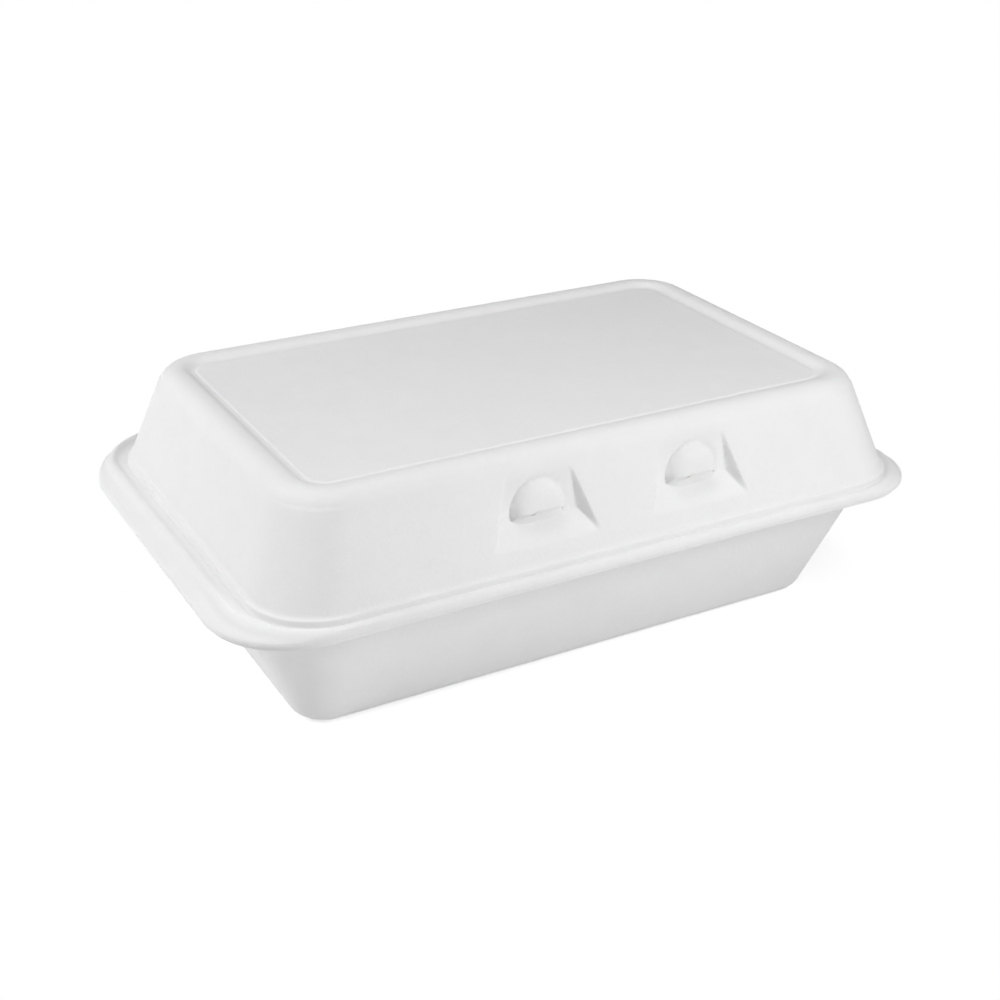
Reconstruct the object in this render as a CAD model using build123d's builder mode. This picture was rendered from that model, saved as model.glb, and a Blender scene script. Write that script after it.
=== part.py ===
"""Foam clamshell container: a tray and its lid, thermoformed from one sheet and folded at a rear hinge."""

from build123d import *
from collections import namedtuple
from math import cos, radians, sin, tan
import os

# An outline seen from above: a rectangle about x = 0 with its own front and back corner radii.
Outline = namedtuple("Outline", "half_length front back front_radius back_radius")

# Foam sheet, and the gap kept between the lid and the tray
wall = 2.5
flange_thickness = 1.7
nest_gap = 0.3

# Trimmed edge of the flanges
brim = Outline(half_length=116.5, front=-77.2, back=75.1, front_radius=28.0, back_radius=33.0)
tray_brim_inset = 1.2
flange_slope = 27.0
flange_reach = 12.0

# Bead that runs round the flange of the lid, set in from the trimmed edge
bead_side_inset = 6.2
bead_front_inset = 1.6
bead_back_inset = 3.5
bead_radius = 24.0
bead_height = 46.5
bead_width = 3.2
bead_rise = 1.1
bead_chamfer = 0.9

# Lid walls, which lean in from the ledge inside the bead up to the top
lid_top = Outline(half_length=94.9, front=-63.3, back=53.7, front_radius=16.0, back_radius=16.0)
lid_height = 78.8
lid_lean = 19.4
lid_corner = 19.0
foot_height = 49.0
ledge_width = 1.0
shoulder_radius = 5.6

# Top of the lid: a raised border, a channel inside it and a flat panel
border_width = 6.4
channel_depth = 1.3
channel_floor = 1.0
channel_slope = 58.0
panel_rise = 0.8
panel_slope = 45.0

# Tray walls
tray_floor = Outline(half_length=89.1, front=-50.4, back=50.4, front_radius=9.3, back_radius=9.3)
tray_slope = 23.8
tray_bottom_radius = 7.0

# Hinge: the crease behind the two flanges
hinge_radius = 0.9
hinge_length = 150.0

# Two lock pockets in the lid's front wall, a little to the right of its middle
lock_spacing = 51.6
lock_offset = 1.9
pocket_top_height = 73.2
pocket_bend_height = 59.7
pocket_foot_height = 54.4
pocket_depth = 4.5
pocket_top_half = 10.3
pocket_bend_half = 13.0
pocket_foot_half = 16.8

# Half dome lanced out of each pocket, open below a lip that rises outwards
dome_half_width = 8.3
dome_bulge = 4.0
dome_lift = 3.0
dome_wall = 1.6
lip_angle = 37.0

# Tongues on the tray's front edge, which reach up behind the pockets
tongue_foot_half = 10.0
tongue_top_half = 7.0
tongue_top_height = 66.0
tongue_thickness = 2.4
tongue_corner = 4.0
tongue_lean = 22.0
tongue_root = 2.0
tongue_inset = 2.1


def grown(shape, by):
    """The outline moved outwards by a distance, or inwards if it is negative."""
    return Outline(
        shape.half_length + by,
        shape.front - by,
        shape.back + by,
        shape.front_radius + by,
        shape.back_radius + by,
    )


def outline_at(shape, height):
    """Sketch of an outline on the level plane at a height."""
    with BuildSketch(Plane.XY.offset(height)) as drawn:
        with Locations((0, (shape.front + shape.back) / 2)):
            Rectangle(2 * shape.half_length, shape.back - shape.front)
        fillet(drawn.vertices().group_by(Axis.Y)[0], shape.front_radius)
        fillet(drawn.vertices().group_by(Axis.Y)[-1], shape.back_radius)
    return drawn.sketch


def flange_hood(height):
    """Solid under a flange's upper face: level inside the bead's line and sloping down outside it."""
    drop = flange_reach * tan(radians(flange_slope))
    with BuildPart() as hood:
        extrude(outline_at(grown(bead, flange_reach), height - drop), amount=drop, taper=90 - flange_slope)
    return hood.part


def lid_section(height):
    """Outline of the lid's walls at a height."""
    widened = grown(lid_top, (lid_height - height) * tan(radians(lid_lean)))
    return widened._replace(front_radius=lid_corner, back_radius=lid_corner)


def lid_block(inset, top, foot):
    """Block between two heights with the lid's leaning walls, set in by a thickness, and a round shoulder."""
    section = grown(lid_section(foot), -inset)
    with BuildPart() as block:
        with BuildSketch(Plane.XY.offset(foot)):
            with Locations((0, (section.front + section.back) / 2)):
                Rectangle(2 * section.half_length, section.back - section.front)
        extrude(amount=top - foot, taper=lid_lean)
        fillet(block.edges().filter_by(Plane.XY, reverse=True), section.front_radius)
        fillet(block.faces().sort_by(Axis.Z)[-1].edges(), shoulder_radius - inset)
    return block.part


def pocket_wedge(back, widen, front_reach):
    """Notch of a lock pocket about x = 0, moved back and widened, with its front drawn out by a reach."""
    top = Vector(pocket_top_half + widen, lid_section(pocket_top_height).front + back, pocket_top_height)
    bend = Vector(pocket_bend_half + widen, pocket_bend_y + back, pocket_bend_height)
    foot = Vector(pocket_foot_half + widen, lid_section(pocket_foot_height).front + back, pocket_foot_height)
    with BuildPart() as notch:
        with BuildSketch(Plane.YZ):
            with BuildLine():
                Polyline(
                    (top.Y - front_reach, top.Z),
                    (top.Y, top.Z),
                    (bend.Y, bend.Z),
                    (foot.Y, foot.Z),
                    (foot.Y - front_reach, foot.Z),
                    close=True,
                )
            make_face()
        extrude(amount=2 * pocket_foot_half)
        split(bisect_by=Plane(origin=bend, z_dir=(top - bend).cross(foot - bend)), keep=Keep.BOTTOM)
        mirror(about=Plane.YZ)
    return notch.part


bead = Outline(
    half_length=brim.half_length - bead_side_inset,
    front=brim.front + bead_front_inset,
    back=brim.back - bead_back_inset,
    front_radius=bead_radius,
    back_radius=bead_radius,
)
tray_rim_height = bead_height - flange_thickness - nest_gap
ledge = grown(lid_section(foot_height), ledge_width)
lid_space_foot = bead_height - wall
hinge_y = brim.back + nest_gap + hinge_radius
hinge_drop = (hinge_y - bead.back) * tan(radians(flange_slope))
hinge_height = tray_rim_height - hinge_drop + hinge_radius / 2
tray_brim = grown(brim, -tray_brim_inset)._replace(back=hinge_y)
tray_mouth = grown(tray_floor, tray_rim_height * tan(radians(tray_slope)))
pocket_bend_y = lid_section(pocket_bend_height).front + pocket_depth
dome_radius = (dome_half_width**2 + dome_bulge**2) / (2 * dome_bulge)
dome_center = (0, pocket_bend_y + dome_radius - dome_bulge, pocket_bend_height + dome_lift)
lock_places = Locations((lock_offset - lock_spacing / 2, 0, 0), (lock_offset + lock_spacing / 2, 0, 0))

# Bead of the lid's flange
with BuildPart() as bead_ring:
    bead_foot = bead_height - flange_thickness
    extrude(outline_at(grown(bead, bead_width / 2), bead_foot), amount=flange_thickness + bead_rise)
    extrude(
        outline_at(grown(bead, -bead_width / 2), bead_foot),
        amount=flange_thickness + bead_rise,
        mode=Mode.SUBTRACT,
    )
    chamfer(bead_ring.faces().sort_by(Axis.Z)[-1].edges(), bead_chamfer)

# Half dome of a lock, and the hollow behind it that opens under its lip
lip = radians(lip_angle)
with BuildPart() as dome:
    with Locations(dome_center):
        Sphere(dome_radius)
    split(bisect_by=Plane(origin=(0, pocket_bend_y, pocket_bend_height), z_dir=(0, sin(lip), cos(lip))))
    split(bisect_by=Plane.XZ.offset(-pocket_bend_y - wall / 2), keep=Keep.TOP)

with BuildPart() as dome_hollow:
    with Locations(dome_center):
        Sphere(dome_radius - dome_wall)
    split(bisect_by=Plane.XY.offset(pocket_bend_height), keep=Keep.TOP)

# Lid
with BuildPart() as lid:
    add(lid_block(0, lid_height, foot_height))
    channel = grown(lid_top, -border_width - channel_depth * tan(radians(channel_slope)))
    extrude(
        outline_at(channel, lid_height - channel_depth),
        amount=channel_depth,
        taper=-channel_slope,
        mode=Mode.SUBTRACT,
    )
    panel = grown(channel, -channel_floor)
    extrude(outline_at(panel, lid_height - channel_depth), amount=panel_rise, taper=panel_slope)
    add(flange_hood(bead_height))
    extrude(outline_at(ledge, bead_height), amount=foot_height - bead_height)
    add(flange_hood(bead_height - flange_thickness), mode=Mode.SUBTRACT)
    extrude(outline_at(brim, 0), amount=lid_height, mode=Mode.INTERSECT)
    add(bead_ring.part)
    add(flange_hood(bead_height - flange_thickness), mode=Mode.SUBTRACT)
    add(lid_block(wall, lid_height - channel_depth - wall, lid_space_foot), mode=Mode.SUBTRACT)
    with lock_places:
        add(pocket_wedge(wall, wall, wall / 2))
        add(pocket_wedge(0, 0, wall), mode=Mode.SUBTRACT)
        add(dome.part)
        add(dome_hollow.part, mode=Mode.SUBTRACT)

lid.part.label = "lid"

# Outside and inside of the tray's bowl
with BuildPart() as bowl:
    extrude(outline_at(tray_floor, 0), amount=tray_rim_height, taper=-tray_slope)
    fillet(bowl.faces().sort_by(Axis.Z)[0].edges(), tray_bottom_radius)

with BuildPart() as bowl_space:
    inner_floor = grown(tray_floor, wall * tan(radians(tray_slope)) - wall)
    extrude(outline_at(inner_floor, wall), amount=tray_rim_height - wall, taper=-tray_slope)
    fillet(bowl_space.faces().sort_by(Axis.Z)[0].edges(), tray_bottom_radius - wall)

# Tongue of a lock, leaning in from the tray's front wall
lean = radians(tongue_lean)
tongue_foot = (0, tray_mouth.front + tongue_inset - tongue_root * tan(lean), tray_rim_height - tongue_root)
tongue_length = (tongue_top_height - tray_rim_height + tongue_root) / cos(lean)
with BuildPart() as tongue:
    with BuildSketch(Plane(origin=tongue_foot, x_dir=(1, 0, 0), z_dir=(0, -cos(lean), sin(lean)))) as blade:
        with BuildLine():
            Polyline(
                (-tongue_foot_half, 0),
                (tongue_foot_half, 0),
                (tongue_top_half, tongue_length),
                (-tongue_top_half, tongue_length),
                close=True,
            )
        make_face()
        fillet(blade.vertices().group_by(Axis.Z)[-1], tongue_corner)
    extrude(amount=-tongue_thickness)

# Tray
with BuildPart() as tray:
    add(flange_hood(tray_rim_height))
    add(flange_hood(tray_rim_height - flange_thickness), mode=Mode.SUBTRACT)
    extrude(outline_at(tray_brim, 0), amount=lid_height, mode=Mode.INTERSECT)
    add(bowl.part)
    with Locations(Location((0, hinge_y, hinge_height), (0, 90, 0))):
        Cylinder(hinge_radius, hinge_length)
    add(bowl_space.part, mode=Mode.SUBTRACT)
    with lock_places:
        add(tongue.part)

tray.part.label = "tray"

os.makedirs("parts", exist_ok=True)
export_step(lid.part, "parts/lid.step")
export_step(tray.part, "parts/tray.step")
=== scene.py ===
"""Looks of a white foam clamshell container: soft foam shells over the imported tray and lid, and a folded crease."""

import math
from collections import namedtuple

import bmesh
import bpy
import numpy as np
from mathutils import Matrix, Vector

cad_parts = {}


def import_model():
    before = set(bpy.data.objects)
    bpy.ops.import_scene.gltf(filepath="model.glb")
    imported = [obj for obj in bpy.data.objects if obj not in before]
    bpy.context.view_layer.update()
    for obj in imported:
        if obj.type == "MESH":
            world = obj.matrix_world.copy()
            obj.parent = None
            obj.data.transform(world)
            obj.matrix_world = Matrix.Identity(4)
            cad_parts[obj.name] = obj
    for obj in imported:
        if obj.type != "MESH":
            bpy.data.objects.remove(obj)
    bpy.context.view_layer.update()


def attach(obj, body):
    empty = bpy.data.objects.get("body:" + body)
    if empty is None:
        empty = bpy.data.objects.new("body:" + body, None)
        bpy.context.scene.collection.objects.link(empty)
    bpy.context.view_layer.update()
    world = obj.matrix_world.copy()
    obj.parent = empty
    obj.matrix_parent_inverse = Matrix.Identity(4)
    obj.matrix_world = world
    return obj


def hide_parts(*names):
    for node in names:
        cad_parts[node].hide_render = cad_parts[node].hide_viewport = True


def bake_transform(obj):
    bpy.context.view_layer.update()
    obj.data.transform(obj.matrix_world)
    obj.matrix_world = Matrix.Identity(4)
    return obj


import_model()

# Sizes in millimetres. Walls, flanges and pockets are those of the solids. The bead, the border, the panel and the
# domes are drawn softer than the solids' own and stay close to them.
MM = 0.001
Outline = namedtuple("Outline", "half_length front back front_radius back_radius")

# Flanges, and the bead that runs round the lid's flange
BRIM = Outline(116.5, -77.2, 75.1, 28.0, 33.0)
BEAD = Outline(110.3, -75.6, 71.6, 24.0, 24.0)
BEAD_HEIGHT = 46.5
BEAD_RISE = 0.75
BEAD_ROUND = 1.6
BEAD_BLEND = 0.5
FLANGE = 1.7
SLOPE = math.tan(math.radians(27.0))

# Trimmed edge of a flange, from its upper side to its lower one: distance in from the edge, and share of the thickness
TRIM_INSET = 0.6
TRIM = (
    (TRIM_INSET, 1.0), (0.22, 0.93), (0.04, 0.78), (0.0, 0.58),
    (0.0, 0.42), (0.04, 0.22), (0.22, 0.07), (TRIM_INSET, 0.0),
)

# Rows under and over a flange, as shares of the way from the bead's line to its trimmed edge
UNDER_ROWS = (0.0, 0.35, 0.7)
OVER_ROWS = (0.85, 0.7, 0.58, 0.48, 0.4, 0.34, 0.28, 0.22, 0.16, 0.1, 0.05, 0.0)

# Lid: leaning walls on a stepped foot, with a round shoulder
WALL = 2.5
LID_TOP = Outline(94.9, -63.3, 53.7, 16.0, 16.0)
LID_HEIGHT = 78.8
LID_LEAN = math.radians(19.4)
SHOULDER = 5.6
CEILING = 75.0
CEILING_FLAT = 1.5
FOOT_HEIGHT = 49.0
FOOT_RADIUS = 19.5
LEDGE = 1.0
LEDGE_ROWS = (0.12, 0.25, 0.4, 0.55, 0.7, 0.85)
FOOT_STEP = ((0.25, 0.0), (0.06, 0.1), (0.0, 0.35), (0.0, 0.65), (-0.06, 0.85), (-0.25, 0.97), (-0.5, 1.0))

# Top of the lid, as distances in from its edge and heights: a raised border that rolls down to the panel
CHANNEL = LID_HEIGHT - 1.5
PANEL = CHANNEL + 0.2
BORDER = ((4.8, LID_HEIGHT), (6.2, LID_HEIGHT - 0.15), (8.2, CHANNEL + 0.15), (9.4, CHANNEL))
PANEL_EDGE = ((9.5, CHANNEL), (9.6, CHANNEL), (10.2, PANEL), (10.9, PANEL))
PANEL_INSET = 13.5

# Tray
TRAY_FLOOR = Outline(89.1, -50.4, 50.4, 9.3, 9.3)
TRAY_LEAN = math.radians(23.8)
TRAY_RIM = 44.5
TRAY_ROUND = 7.0
TRAY_INSET = 1.2
FLOOR_FLAT = 2.0

# Crease behind the flanges, which turns about the hinge's line from under the tray's edge to the lid's edge
HINGE_Y = 76.3
HINGE_Z = 42.555
CREASE_HALF = 80.0
CREASE_RADIUS = 0.9
CREASE_THICKNESS = 0.28
CREASE_START, CREASE_END = math.radians(-120), math.radians(128)

# Lock pockets in the lid's front wall: heights of their folds, half widths there, and how softly the faces meet
LOCKS = (-23.9, 27.7)
LOCK_REACH = 22.0
POCKET_TOP, POCKET_BEND, POCKET_FOOT = 73.2, 59.7, 54.4
POCKET_HALVES = (10.3, 13.0, 16.8)
POCKET_DEPTH = 4.5
BEND_BLEND, SIDE_BLEND, MARGIN_BLEND = 0.8, 0.3, 0.35

# Half dome in each pocket, the crease round it, and its lip with a small nick
DOME_HALF, DOME_BULGE, DOME_LIFT, DOME_WALL, DOME_LEAN = 8.3, 3.8, 3.0, 1.6, 0.16
DOME_BLEND = 0.5
RING_DEPTH, RING_SPREAD = 0.5, 1.0
LIP_SLOPE = math.tan(math.radians(37.0))
LIP_LOW = 0.15
LIP_ROLL, LIP_ROLL_HEIGHT = 0.35, 0.9
NICK_DEPTH, NICK_PLACE, NICK_SPREAD = 0.25, -2.4, 0.8

# Sill behind each lip, and the slit that is left between the two at the left
SILL_HALF, SILL_BULGE, SILL_LEAN = 8.6, 1.3, 0.45
SILL_FOOT = 58.6
SILL_START = SILL_FOOT - 2.0
SILL_BLEND = 0.15
SILL_LOW = 0.03
SLIT_LEAST, SLIT_DROP = 0.06, 1.2
SLIT_PLACES, SLIT_SHARES = (-7.5, -2.4, -1.6), (0.15, 1.0, 0.0)
MOUTH_LEFT, MOUTH_RIGHT = -6.6, -1.4

# Rows of the lid's walls, close together where the locks fold. Across a dome the mouth row follows the sill and the
# lip row follows the lip; the bend ends at a distance from the dome's middle, and the rows are level at the crown.
MOUTH_ROW = POCKET_BEND + 2.0
LIP_ROW = POCKET_BEND + 3.0
CROWN_ROW = 70.0
ROW_BEND_END, ROW_BEND_WIDTH = 12.0, 3.0
LEVELS = np.unique(np.round(np.concatenate([
    np.arange(49.6, 52.2, 0.8),
    np.arange(52.5, 57.8, 0.4),
    POCKET_BEND + np.arange(-1.8, 0.9, 0.15),
    POCKET_BEND + np.array([1.0, 1.5, 2.0, 2.5, 3.0, 3.15, 3.3, 3.5, 3.7, 3.9, 4.2]),
    np.arange(64.4, 74.95, 0.4),
]), 3))

# Columns of the shells: close together across the locks, and fewer elsewhere
PATCH = 48.0
PATCH_COLUMNS = np.linspace(-PATCH, PATCH, 193)
END_COLUMNS = 7
FRONT_COLUMNS = len(PATCH_COLUMNS) + 2 * END_COLUMNS
SIDE_COLUMNS = 15
REAR_COLUMNS = 31
CORNER_STEPS = 20

# Tongues on the tray's front edge, with their half widths at the foot, the waist and the top
TONGUE_LEAN = math.radians(22.0)
TONGUE_HALVES = (10.0, 8.8, 7.0)
TONGUE_WAIST = 0.4
TONGUE_TOP = 66.0
TONGUE_ROOT = 2.0
TONGUE_INSET = 2.1
TONGUE_THICKNESS = 2.4
TONGUE_EDGE = 0.6

# Light and camera, in metres and watts. The lamps all point at one place on the box.
LAMP_AIM = (0, 0, 0.05)
LAMPS = (
    ("front_softbox", (0.1, -0.42, 0.3), 0.2, 1.0),
    ("front_right_softbox", (0.35, -0.42, 0.1), 0.2, 0.18),
    ("left_softbox", (-0.642, 0.26, 0.45), 0.2, 2.1),
    ("low_left_softbox", (-0.5, 0.04, 0.14), 0.25, 0.36),
    ("top_softbox", (0, 0, 0.8), 0.3, 1.17),
    ("top_left_softbox", (-0.35, -0.1, 0.65), 0.3, 0.52),
    ("top_front_softbox", (0, -0.4, 0.6), 0.3, 0.35),
)
WORLD_LIGHT = 0.05
FLOOR_GLOW = 0.48
FLOOR_DROP = 0.0003
FLOOR_HALF = 4.0
SHADOW_HALVES = (0.104, 0.064, 1.0)
SHADOW_FADE = (1.0, 1.35)
SENSOR = 36.0
LENS = 1578.6 * SENSOR / 1000.0
CAMERA_TURN, CAMERA_LIFT, CAMERA_ROLL = (math.radians(v) for v in (-29.33, 25.95, 0.59))
CAMERA_AIM = Vector((-1.19, -3.81, 32.83)) * MM
CAMERA_DISTANCE = 508.65


def grown(shape, by):
    """The outline moved outwards by a distance."""
    return Outline(
        shape.half_length + by,
        shape.front - by,
        shape.back + by,
        shape.front_radius + by,
        shape.back_radius + by,
    )


def ring(shape):
    """Points round an outline, the same number for each outline, starting with the front side from the left."""
    right, left = shape.half_length, -shape.half_length
    front_x = shape.half_length - shape.front_radius
    back_x = shape.half_length - shape.back_radius
    front_y = shape.front + shape.front_radius
    back_y = shape.back - shape.back_radius
    ends = np.linspace(PATCH, front_x, END_COLUMNS + 1)[1:]
    across = np.concatenate([-ends[::-1], PATCH_COLUMNS, ends])
    turn = np.linspace(0, math.pi / 2, CORNER_STEPS + 1)[1:-1]
    side = np.linspace(front_y, back_y, SIDE_COLUMNS)
    rear = np.linspace(back_x, -back_x, REAR_COLUMNS)

    def corner(x, y, radius, start):
        """Points round one corner, from an angle."""
        return np.c_[x + radius * np.cos(start + turn), y + radius * np.sin(start + turn)]

    return np.vstack([
        np.c_[across, np.full_like(across, shape.front)],
        corner(front_x, front_y, shape.front_radius, -math.pi / 2),
        np.c_[np.full_like(side, right), side],
        corner(back_x, back_y, shape.back_radius, 0),
        np.c_[rear, np.full_like(rear, shape.back)],
        corner(-back_x, back_y, shape.back_radius, math.pi / 2),
        np.c_[np.full_like(side, left), side[::-1]],
        corner(-front_x, front_y, shape.front_radius, math.pi),
    ])


def lifted(points, height):
    """Points in the plane given a height, which may be one number or one for each point."""
    return np.c_[points, np.broadcast_to(height, len(points))]


def level_ring(shape, height):
    """Points round an outline at one height."""
    return lifted(ring(shape), height)


def distance(shape, points):
    """How far points lie outside an outline; negative inside it."""
    middle = (shape.front + shape.back) / 2
    depth = (shape.back - shape.front) / 2
    radius = np.where(points[:, 1] < middle, shape.front_radius, shape.back_radius)
    x = np.abs(points[:, 0]) - shape.half_length + radius
    y = np.abs(points[:, 1] - middle) - depth + radius
    return np.minimum(np.maximum(x, y), 0) + np.hypot(np.maximum(x, 0), np.maximum(y, 0)) - radius


def smooth_min(a, b, blend):
    """The smaller of two values, with the join rounded."""
    share = np.clip(0.5 + 0.5 * (b - a) / blend, 0, 1)
    return b + (a - b) * share - blend * share * (1 - share)


def smooth_max(a, b, blend):
    """The larger of two values, with the join rounded."""
    return -smooth_min(-a, -b, blend)


def eased(profile, rounds=2):
    """A profile with its corners cut again and again, so that it turns softly. Its ends stay."""
    points = [np.array(p, float) for p in profile]
    for _ in range(rounds):
        cut = [points[0]]
        for a, b in zip(points[:-1], points[1:]):
            cut += [0.75 * a + 0.25 * b, 0.25 * a + 0.75 * b]
        points = cut + [points[-1]]
    return points


def lid_section(height):
    """Outline of the lid's outer wall at a height."""
    by = (LID_HEIGHT - height) * math.tan(LID_LEAN)
    share = (LID_HEIGHT - height) / (LID_HEIGHT - FOOT_HEIGHT)
    radius = LID_TOP.front_radius + share * (FOOT_RADIUS - LID_TOP.front_radius)
    return grown(LID_TOP, by)._replace(front_radius=radius, back_radius=radius)


def rim_height(out):
    """Upper face of the lid's flange at distances outside the bead's line."""
    crown = BEAD_HEIGHT + BEAD_RISE - out**2 / (2 * BEAD_ROUND)
    return smooth_max(flange_height(BEAD_HEIGHT, out), crown, BEAD_BLEND)


def flange_height(top, out):
    """A plain flange that is level inside the bead's line and slopes down outside it."""
    return top - np.maximum(out, 0) * SLOPE


def wall_y(height):
    """Front face of the lid's wall."""
    return LID_TOP.front - (LID_HEIGHT - height) * math.tan(LID_LEAN)


BEND_Y = wall_y(POCKET_BEND) + POCKET_DEPTH
DOME_Z = POCKET_BEND + DOME_LIFT


def pocket_depth(x, height, widen):
    """How far a lock pocket folds in behind the front wall, at points beside its middle."""
    wall = wall_y(height)
    top_y, foot_y = wall_y(POCKET_TOP), wall_y(POCKET_FOOT)
    upper = BEND_Y + (height - POCKET_BEND) * (top_y - BEND_Y) / (POCKET_TOP - POCKET_BEND) - wall
    ramp = foot_y + (height - POCKET_FOOT) * (BEND_Y - foot_y) / (POCKET_BEND - POCKET_FOOT) - wall
    folds = zip(POCKET_HALVES, (POCKET_TOP, POCKET_BEND, POCKET_FOOT))
    corners = np.array([[half + widen, fold, 1.0] for half, fold in folds])
    side_plane = np.linalg.solve(corners, np.array([top_y, BEND_Y, foot_y]))
    side = side_plane[0] * np.abs(x) + side_plane[1] * height + side_plane[2] - wall
    folded = smooth_min(smooth_min(upper, ramp, BEND_BLEND), side, SIDE_BLEND)
    return smooth_max(folded, 0.0, MARGIN_BLEND)


def dome_y(x, height, inset):
    """Face of a lock's half dome, flat in the middle and steep at its foot, and where there is one."""
    inside = 1 - ((x**2 + (height - DOME_Z)**2) / (DOME_HALF - inset)**2)**2
    bulge = (DOME_BULGE - inset) * np.sqrt(np.maximum(inside, 0.0))
    return BEND_Y - bulge + DOME_LEAN * np.maximum(height - DOME_Z, 0.0), inside > 0


def lip_height(x, inset):
    """Height of the sloping lip under a half dome at points beside its middle."""
    height = np.full_like(x, MOUTH_ROW)
    for _ in range(40):
        y, inside = dome_y(x, height, inset)
        height = POCKET_BEND + LIP_SLOPE * np.where(inside, np.maximum(BEND_Y - y, 0.0), 0.0)
    nick = NICK_DEPTH * np.exp(-((x - NICK_PLACE) / NICK_SPREAD)**2)
    return np.maximum(height, POCKET_BEND + LIP_LOW) + nick


def lock_row(x, level, inset):
    """Heights of one row at points beside a lock's middle. Near the dome it bends to follow the lip and the sill."""
    if not POCKET_BEND < level < CROWN_ROW:
        return np.full_like(x, level)
    share = np.clip((ROW_BEND_END - np.abs(x)) / ROW_BEND_WIDTH, 0, 1)
    lip = LIP_ROW + share * share * (3 - 2 * share) * (lip_height(x, inset) - LIP_ROW)
    sill = lip - SLIT_LEAST - SLIT_DROP * np.interp(x, SLIT_PLACES, SLIT_SHARES)
    sill = np.maximum(sill, POCKET_BEND + SILL_LOW)
    rows = (POCKET_BEND, MOUTH_ROW, LIP_ROW, CROWN_ROW)
    return np.array([np.interp(level, rows, (POCKET_BEND, a, b, CROWN_ROW)) for a, b in zip(sill, lip)])


def lock_face(x, z, level, inner):
    """Front wall in a lock along one row: the folded pocket, the sill below the lip and the dome above it."""
    thickness = WALL if inner else 0.0
    y = wall_y(z) + thickness + pocket_depth(x, z, thickness)
    if level < LIP_ROW:
        if inner:
            return y
        along = np.abs(x) / SILL_HALF
        bulge = (SILL_BULGE + SILL_LEAN * (z - SILL_FOOT)) * (1 - along**3)
        held = (along < 1) & (z > SILL_START)
        return np.where(held, smooth_min(y, BEND_Y - bulge, SILL_BLEND), y)
    dome, inside = dome_y(x, z, DOME_WALL if inner else 0.0)
    if not inner:
        beside = np.hypot(x, z - DOME_Z) - DOME_HALF
        y = y + RING_DEPTH * np.exp(-(beside / RING_SPREAD)**2)
        rolled = max(0.0, 1.0 - (level - LIP_ROW) / LIP_ROLL_HEIGHT)
        dome = dome + LIP_ROLL * rolled**2
    return np.where(inside, smooth_min(y, dome, DOME_BLEND), y)


def wall_row(level, inner):
    """One row of the lid's inner or outer wall, with its front pushed in by the pockets and out by their domes."""
    points = ring(grown(lid_section(level), -WALL) if inner else lid_section(level))
    row = lifted(points, level)
    front = np.abs(points[:, 1] - points[:, 1].min()) < 1e-6
    for middle in LOCKS:
        near = front & (np.abs(points[:, 0] - middle) < LOCK_REACH)
        x = points[near, 0] - middle
        z = lock_row(x, level, DOME_WALL if inner else 0.0)
        row[near, 1] = lock_face(x, z, level, inner)
        row[near, 2] = z
    return row


def finished(mesh, name, sharp_angle):
    """Object made from a bmesh, with its faces outwards and smooth between its sharp edges."""
    bmesh.ops.recalc_face_normals(mesh, faces=mesh.faces)
    data = bpy.data.meshes.new(name)
    mesh.to_mesh(data)
    mesh.free()
    data.shade_smooth()
    data.set_sharp_from_angle(angle=math.radians(sharp_angle))
    piece = bpy.data.objects.new(name, data)
    bpy.context.scene.collection.objects.link(piece)
    return piece


def skin(name, rings, gaps=()):
    """Closed sheet drawn by extruding a loop from ring to ring of points in millimetres, with flat ends. Each gap is
    a hole through the sheet: its rows on the inside, its rows on the outside, and its first and last column."""
    mesh = bmesh.new()
    row = [mesh.verts.new(Vector(p) * MM) for p in rings[0]]
    loop = [mesh.edges.new(ends) for ends in zip(row, row[1:] + row[:1])]
    bmesh.ops.edgeloop_fill(mesh, edges=loop)
    rows = [row]
    for points in rings[1:]:
        drawn = bmesh.ops.extrude_edge_only(mesh, edges=loop)["geom"]
        new = {v for v in drawn if isinstance(v, bmesh.types.BMVert)}
        loop = [e for e in drawn if isinstance(e, bmesh.types.BMEdge) and new.issuperset(e.verts)]
        row = [next(w for e in v.link_edges if (w := e.other_vert(v)) in new) for v in row]
        for vert, point in zip(row, points):
            vert.co = Vector(point) * MM
        rows.append(row)
    bmesh.ops.edgeloop_fill(mesh, edges=loop)
    for inner_rows, outer_rows, low, high in gaps:
        rims = []
        for run in (inner_rows, outer_rows):
            patch = [rows[r][low:high + 1] for r in run]
            inside = {v for line in patch for v in line}
            cut = {f for v in inside for f in v.link_faces if inside.issuperset(f.verts)}
            right, left = [line[-1] for line in patch[1:-1]], [line[0] for line in patch[-2:0:-1]]
            rims.append(patch[0] + right + patch[-1][::-1] + left)
            bmesh.ops.delete(mesh, geom=list(cut), context="FACES")
        # The rims of so thin a slit are joined edge by edge, because bridging can pair them the wrong way round.
        inner, outer = rims
        for a, b, c, d in zip(inner, inner[1:] + inner[:1], outer[1:] + outer[:1], outer):
            mesh.faces.new((a, b, c, d))
    return finished(mesh, name, 55)


def rounded_edge(shape, level, radius, lean, steps):
    """Rings round the edge between a level face and a wall that leans by an angle, from the face to the wall. The
    edge turns down from a top, or up from a floor where the radius is negative."""
    reach = abs(radius)
    inset = reach * math.tan((math.pi / 2 - lean) / 2)
    return [
        level_ring(grown(shape, reach * math.cos(angle) - inset), level - radius * (1 - math.sin(angle)))
        for angle in np.linspace(math.pi / 2, lean, steps)
    ]


def flat_inset(radius, lean, flat):
    """How far in from a sharp edge a ring lies that is on the level face, inside the start of the rounded edge."""
    return radius * math.tan((math.pi / 2 - lean) / 2) + flat


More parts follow.
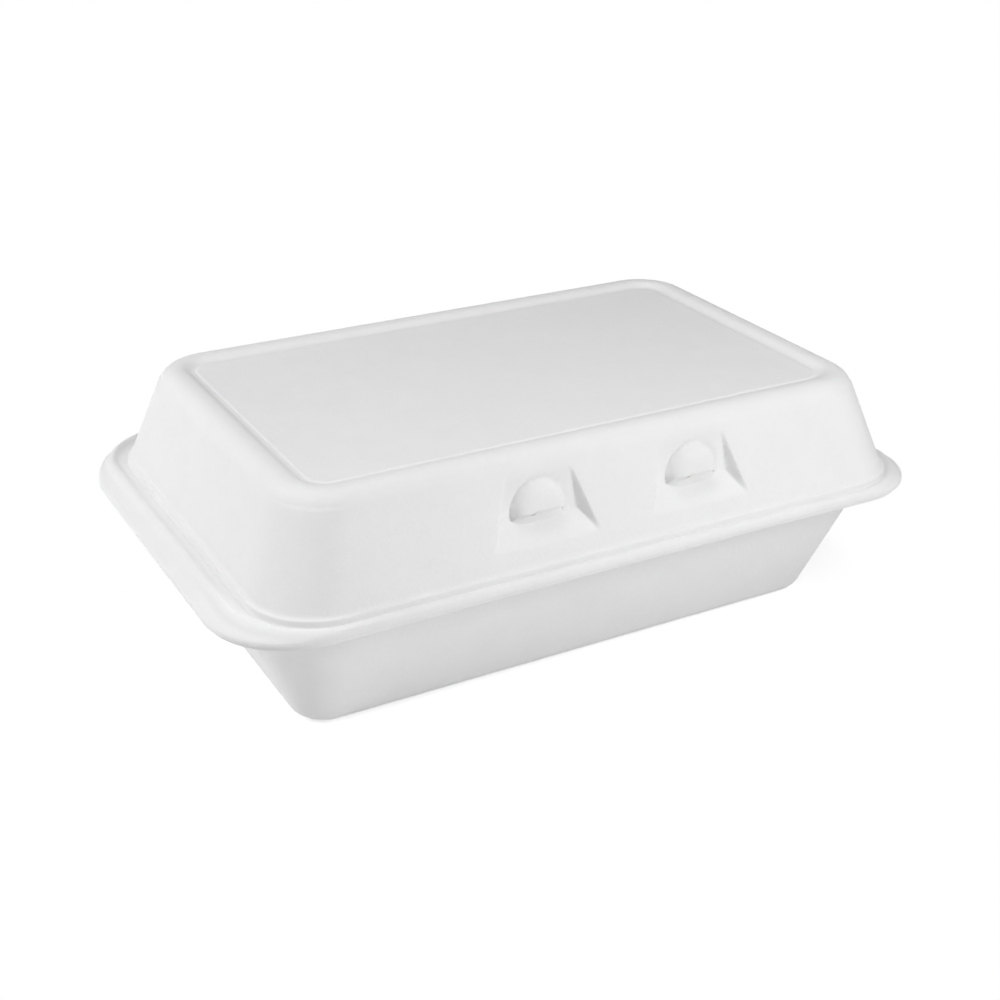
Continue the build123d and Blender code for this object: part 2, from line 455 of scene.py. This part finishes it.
def flange_rings(trim, upper, lower):
    """Rings of a flange from under the bead's line, round the trimmed edge, and back over the top."""
    start, end = ring(BEAD), ring(trim)
    inward = start - end
    inward = inward / np.maximum(np.linalg.norm(inward, axis=1), 1e-6)[:, None]
    lip = end + TRIM_INSET * inward
    rows = []
    for share in UNDER_ROWS:
        points = start + share * (lip - start)
        rows.append(lifted(points, lower(distance(BEAD, points))))
    for inset, share in reversed(TRIM):
        points = end + inset * inward
        out = distance(BEAD, points)
        rows.append(lifted(points, lower(out) + share * (upper(out) - lower(out))))
    for share in OVER_ROWS:
        points = start + share * (lip - start)
        rows.append(lifted(points, upper(distance(BEAD, points))))
    return rows


def foot_rings():
    """Rings of the lid from the bead across the ledge and up the step at the foot of its walls."""
    rows = []
    ledge = ring(grown(lid_section(FOOT_HEIGHT), LEDGE))
    crown = ring(BEAD)
    for share in LEDGE_ROWS:
        points = crown + share * (ledge - crown)
        rows.append(lifted(points, rim_height(distance(BEAD, points))))
    foot = rim_height(distance(BEAD, ledge))
    rise = FOOT_HEIGHT - foot
    for out, share in FOOT_STEP:
        rows.append(level_ring(grown(lid_section(FOOT_HEIGHT), LEDGE + out), foot + share * rise))
    rows.append(level_ring(grown(lid_section(FOOT_HEIGHT + 0.1), 0.2), FOOT_HEIGHT + 0.1))
    return rows


def lid_rings():
    """Rings of the lid from the middle of its ceiling, down the inside, round the flange and up to the panel, and the
    slits under its lips."""
    inner_of, outer_of = {}, {}
    ceiling = grown(lid_section(CEILING), -WALL)
    inner_round = SHOULDER - WALL
    rows = [level_ring(grown(ceiling, -flat_inset(inner_round, LID_LEAN, CEILING_FLAT)), CEILING)]
    rows += rounded_edge(ceiling, CEILING, inner_round, LID_LEAN, 7)
    top_level = CEILING - inner_round * (1 - math.sin(LID_LEAN))
    for level in LEVELS[LEVELS < top_level - 0.2][::-1]:
        inner_of[level] = len(rows)
        rows.append(wall_row(level, True))
    under = BEAD_HEIGHT - FLANGE
    for height, out in ((BEAD_HEIGHT, 0.0), (under + 0.4, 0.0), (under, 0.3)):
        rows.append(level_ring(grown(lid_section(height), -WALL + out), height))
    rows += flange_rings(BRIM, rim_height, lambda out: flange_height(under, out))
    rows += foot_rings()
    for level in LEVELS:
        outer_of[level] = len(rows)
        rows.append(wall_row(level, False))
    rows += rounded_edge(LID_TOP, LID_HEIGHT, SHOULDER, LID_LEAN, 12)[::-1]
    for step, height in eased(BORDER, 3) + eased(PANEL_EDGE) + [(PANEL_INSET, PANEL)]:
        rows.append(level_ring(grown(LID_TOP, -step), height))

    mouth = [level for level in LEVELS if MOUTH_ROW - 0.01 < level < LIP_ROW + 0.01]
    across = ring(LID_TOP)[:FRONT_COLUMNS, 0]
    gaps = []
    for middle in LOCKS:
        slit = [j for j, x in enumerate(across) if MOUTH_LEFT <= x - middle <= MOUTH_RIGHT]
        gaps.append(([inner_of[h] for h in mouth], [outer_of[h] for h in mouth], slit[0], slit[-1]))
    return rows, gaps


def tray_rings():
    """Rings of the tray from the middle of its bottom, up the outside, round the flange and down to the floor."""
    spread = math.tan(TRAY_LEAN)
    trim = grown(BRIM, -TRAY_INSET)._replace(back=HINGE_Y)

    def basin(floor, base, radius):
        """Rings from a level floor round its edge."""
        middle = level_ring(grown(floor, -flat_inset(radius, TRAY_LEAN, FLOOR_FLAT)), base)
        return [middle] + rounded_edge(floor, base, -radius, TRAY_LEAN, 10)

    rows = basin(TRAY_FLOOR, 0.0, TRAY_ROUND)
    under = TRAY_RIM - FLANGE
    for height in np.linspace(6.0, under - 0.8, 16):
        rows.append(level_ring(grown(TRAY_FLOOR, height * spread), height))
    for out, height in eased([(0.0, under - 0.4), (0.2, under), (1.2, under)], 1):
        rows.append(level_ring(grown(TRAY_FLOOR, under * spread + out), height))
    rows += flange_rings(trim, lambda out: flange_height(TRAY_RIM, out), lambda out: flange_height(under, out))
    mouth = TRAY_RIM * spread - WALL
    for out, height in eased([(1.4, TRAY_RIM), (0.0, TRAY_RIM), (-0.5, TRAY_RIM - 1.2)]):
        rows.append(level_ring(grown(TRAY_FLOOR, mouth + out), height))
    for height in np.linspace(TRAY_RIM - 2.5, WALL + 3.0, 14):
        rows.append(level_ring(grown(TRAY_FLOOR, height * spread - WALL), height))
    floor = grown(TRAY_FLOOR, WALL * spread - WALL)
    rows += basin(floor, WALL, TRAY_ROUND - WALL)[::-1]
    return rows


def tongue(middle, name):
    """Lock tongue that leans in from the tray's front wall, with rounded edges."""
    foot_y = TRAY_FLOOR.front - TRAY_RIM * math.tan(TRAY_LEAN) + TONGUE_INSET - TONGUE_ROOT * math.tan(TONGUE_LEAN)
    length = (TONGUE_TOP - TRAY_RIM + TONGUE_ROOT) / math.cos(TONGUE_LEAN)
    half = list(zip(TONGUE_HALVES, (0.0, length * TONGUE_WAIST, length)))
    outline = eased([(-x, v) for x, v in half] + [(0.0, length)] + half[::-1], 3)
    mesh = bmesh.new()
    along = Vector((0, math.sin(TONGUE_LEAN), math.cos(TONGUE_LEAN)))
    facing = Vector((0, -math.cos(TONGUE_LEAN), math.sin(TONGUE_LEAN)))
    base = Vector((middle, foot_y, TRAY_RIM - TONGUE_ROOT))
    front = [mesh.verts.new((base + Vector((x, 0, 0)) + along * v) * MM) for x, v in outline]
    mesh.faces.new(front)
    back = bmesh.ops.extrude_face_region(mesh, geom=list(mesh.faces))
    moved = [v for v in back["geom"] if isinstance(v, bmesh.types.BMVert)]
    bmesh.ops.translate(mesh, verts=moved, vec=facing * -TONGUE_THICKNESS * MM)
    bmesh.ops.recalc_face_normals(mesh, faces=mesh.faces)
    rims = [e for e in mesh.edges if len(e.link_faces) == 2 and e.calc_face_angle() > 1.0]
    bmesh.ops.bevel(
        mesh, geom=rims, offset=TONGUE_EDGE * MM, segments=3, profile=0.5, affect="EDGES", material=-1
    )
    return finished(mesh, name, 180)


def crease():
    """Thin folded web behind the flanges, from under the tray's edge round to the lid's edge."""
    y = HINGE_Y + CREASE_RADIUS * math.cos(CREASE_START)
    z = HINGE_Z + CREASE_RADIUS * math.sin(CREASE_START)
    mesh = bmesh.new()
    line = [mesh.verts.new(Vector((x, y, z)) * MM) for x in (-CREASE_HALF, CREASE_HALF)]
    bmesh.ops.subdivide_edges(mesh, edges=[mesh.edges.new(line)], cuts=39)
    bmesh.ops.spin(
        mesh,
        geom=mesh.verts[:] + mesh.edges[:],
        cent=Vector((0, HINGE_Y, HINGE_Z)) * MM,
        axis=(1, 0, 0),
        angle=CREASE_END - CREASE_START,
        steps=24,
    )
    bmesh.ops.recalc_face_normals(mesh, faces=mesh.faces)
    bmesh.ops.solidify(mesh, geom=mesh.faces[:], thickness=CREASE_THICKNESS * MM)
    return finished(mesh, "hinge_crease", 60)


def srgb(code):
    """Linear colour of an sRGB hex code."""
    parts = [int(code[i:i + 2], 16) / 255 for i in (0, 2, 4)]
    return (*(p / 12.92 if p <= 0.04045 else ((p + 0.055) / 1.055) ** 2.4 for p in parts), 1.0)


def add_node(tree, kind, links=(), values=(), **settings):
    """A node with its settings, links from (node, output) to its sockets, and values set on its other sockets."""
    node = tree.nodes.new(kind)
    for key, setting in settings.items():
        setattr(node, key, setting)
    for socket, value in dict(values).items():
        node.inputs[socket].default_value = value
    for socket, (source, output) in dict(links).items():
        tree.links.new(source.outputs[output], node.inputs[socket])
    return node


def empty_tree(owner):
    """Node tree of a material or a world, with nothing in it."""
    owner.use_nodes = True
    owner.node_tree.nodes.clear()
    return owner.node_tree


def foam_material():
    """Thermoformed white foam sheet. The eye gets a matte, slightly clouded skin with no clear highlight, a fine
    grain from the cells under it, and soft pale shadows in the folds, because light spreads a little in the foam."""
    cloud_size, grain_size, cell_size = 12.0, 1.6, 0.7
    material = bpy.data.materials.new("thermoformed_white_foam")
    tree = empty_tree(material)
    place = add_node(tree, "ShaderNodeTexCoord")
    clouds = add_node(
        tree,
        "ShaderNodeTexNoise",
        {"Vector": (place, "Object")},
        {"Scale": 1 / (cloud_size * MM), "Detail": 3.0, "Roughness": 0.55},
    )
    tint = add_node(tree, "ShaderNodeValToRGB", {"Fac": (clouds, "Fac")})
    for stop, position, code in zip(tint.color_ramp.elements, (0.3, 0.7), ("F1F1F1", "F3F3F3")):
        stop.position = position
        stop.color = srgb(code)
    # The cells of such foam are 0.1 to 0.3 mm across, too fine to show, so they and their grain are drawn coarser.
    cells = add_node(
        tree,
        "ShaderNodeTexVoronoi",
        {"Vector": (place, "Object")},
        {"Scale": 1 / (cell_size * MM)},
        feature="SMOOTH_F1",
    )
    grain = add_node(
        tree,
        "ShaderNodeTexNoise",
        {"Vector": (place, "Object")},
        {"Scale": 1 / (grain_size * MM), "Detail": 4.0, "Roughness": 0.6},
    )
    fine = add_node(
        tree, "ShaderNodeBump", {"Height": (cells, "Distance")}, {"Strength": 0.3, "Distance": 0.00015}
    )
    skin_bump = add_node(
        tree,
        "ShaderNodeBump",
        {"Height": (grain, "Fac"), "Normal": (fine, "Normal")},
        {"Strength": 0.12, "Distance": 0.0003},
    )
    speck = add_node(
        tree,
        "ShaderNodeMapRange",
        {"Value": (grain, "Fac")},
        {"From Min": 0.3, "From Max": 0.7, "To Min": 0.988, "To Max": 1.0},
    )
    colour = add_node(
        tree, "ShaderNodeVectorMath", {0: (tint, "Color"), "Scale": (speck, "Result")}, operation="SCALE"
    )
    shader = add_node(
        tree,
        "ShaderNodeBsdfPrincipled",
        {"Base Color": (colour, "Vector"), "Normal": (skin_bump, "Normal")},
        {
            "Roughness": 0.75,
            "Specular IOR Level": 0.15,
            "Subsurface Weight": 0.12,
            "Subsurface Radius": (0.003, 0.003, 0.003),
            "Subsurface Scale": 1.0,
        },
    )
    add_node(tree, "ShaderNodeOutputMaterial", {"Surface": (shader, "BSDF")})
    return material


def seen_directly(tree):
    """Node whose value is 1 for what the camera sees, also in a mirror or through glass, and 0 for other light."""
    path = add_node(tree, "ShaderNodeLightPath")
    glossy = add_node(
        tree, "ShaderNodeMath", {0: (path, "Is Camera Ray"), 1: (path, "Is Glossy Ray")}, operation="MAXIMUM"
    )
    return add_node(
        tree, "ShaderNodeMath", {0: (glossy, "Value"), 1: (path, "Is Transmission Ray")}, operation="MAXIMUM"
    )


def floor():
    """Matte painted studio floor: pale, with no shine. It keeps the contact shadow and runs out to plain white."""
    mesh = bmesh.new()
    bmesh.ops.create_grid(
        mesh, x_segments=1, y_segments=1, size=FLOOR_HALF, matrix=Matrix.Translation((0, 0, -FLOOR_DROP))
    )
    plane = finished(mesh, "studio_floor", 180)
    material = bpy.data.materials.new("matte_studio_floor")
    tree = empty_tree(material)
    paint = add_node(tree, "ShaderNodeBsdfDiffuse", values={"Color": srgb("F4F4F4")})
    near_glow = add_node(tree, "ShaderNodeEmission", values={"Strength": FLOOR_GLOW})
    near = add_node(tree, "ShaderNodeAddShader", {0: (paint, "BSDF"), 1: (near_glow, "Emission")})
    far = add_node(tree, "ShaderNodeEmission", values={"Strength": 1.0})
    place = add_node(tree, "ShaderNodeTexCoord")
    footprint = add_node(
        tree, "ShaderNodeVectorMath", {0: (place, "Object")}, {1: SHADOW_HALVES}, operation="DIVIDE"
    )
    reach = add_node(tree, "ShaderNodeVectorMath", {0: (footprint, "Vector")}, operation="LENGTH")
    fade = add_node(
        tree,
        "ShaderNodeMapRange",
        {"Value": (reach, "Value")},
        {"From Min": SHADOW_FADE[0], "From Max": SHADOW_FADE[1]},
        interpolation_type="SMOOTHSTEP",
    )
    white = add_node(
        tree, "ShaderNodeMixShader", {0: (fade, "Result"), 1: (near, "Shader"), 2: (far, "Emission")}
    )
    seen = seen_directly(tree)
    mix = add_node(tree, "ShaderNodeMixShader", {0: (seen, "Value"), 1: (paint, "BSDF"), 2: (white, "Shader")})
    add_node(tree, "ShaderNodeOutputMaterial", {"Surface": (mix, "Shader")})
    plane.data.materials.append(material)


def lamp(name, place, size, power):
    """Soft square lamp that points at the box."""
    data = bpy.data.lights.new(name, "AREA")
    data.shape = "SQUARE"
    data.size = size
    data.energy = power
    light = bpy.data.objects.new(name, data)
    light.location = place
    light.rotation_euler = (Vector(LAMP_AIM) - Vector(place)).to_track_quat("-Z", "Y").to_euler()
    bpy.context.scene.collection.objects.link(light)


def world():
    """White surroundings for the camera, which give the box only a little light."""
    made = bpy.data.worlds.new("studio_world")
    tree = empty_tree(made)
    white = add_node(tree, "ShaderNodeBackground", values={"Color": (1, 1, 1, 1), "Strength": 1.0})
    light = add_node(tree, "ShaderNodeBackground", values={"Color": (1, 1, 1, 1), "Strength": WORLD_LIGHT})
    seen = seen_directly(tree)
    mix = add_node(
        tree, "ShaderNodeMixShader", {0: (seen, "Value"), 1: (light, "Background"), 2: (white, "Background")}
    )
    add_node(tree, "ShaderNodeOutputWorld", {"Surface": (mix, "Shader")})
    bpy.context.scene.world = made


def camera():
    """Camera in front of the box's left corner, a little above it."""
    data = bpy.data.cameras.new("camera")
    data.sensor_width = SENSOR
    data.lens = LENS
    data.clip_start, data.clip_end = 0.01, 20.0
    turn, lift, roll = CAMERA_TURN, CAMERA_LIFT, CAMERA_ROLL
    back = Vector((math.sin(turn) * math.cos(lift), -math.cos(turn) * math.cos(lift), math.sin(lift)))
    right = Vector((math.cos(turn), math.sin(turn), 0))
    up = back.cross(right)
    side = math.cos(roll) * right + math.sin(roll) * up
    head = -math.sin(roll) * right + math.cos(roll) * up
    turned = Matrix((side, head, back)).transposed().to_4x4()
    placed = bpy.data.objects.new("camera", data)
    placed.matrix_world = Matrix.Translation(CAMERA_AIM + back * CAMERA_DISTANCE * MM) @ turned
    bpy.context.scene.collection.objects.link(placed)
    bpy.context.scene.camera = placed


# The container: two shells in place of the solids, the tongues inside them, and the crease that joins them
foam = foam_material()
lid_rows, lid_gaps = lid_rings()
lid = skin("lid_shell", lid_rows, lid_gaps)
tray = skin("tray_shell", tray_rings())
for piece, body in ((lid, "lid"), (tray, "tray")):
    piece.data.materials.append(foam)
    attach(piece, body)
    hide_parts(body)
for index, middle in enumerate(LOCKS):
    piece = tongue(middle, "lock_tongue_%d" % (index + 1))
    piece.data.materials.append(foam)
    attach(piece, "tray")
web = crease()
web.data.materials.append(foam)
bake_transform(web)

# Floor, light and camera
floor()
world()
for name, place, size, power in LAMPS:
    lamp(name, place, size, power)
camera()
bpy.context.scene.view_settings.view_transform = "Standard"
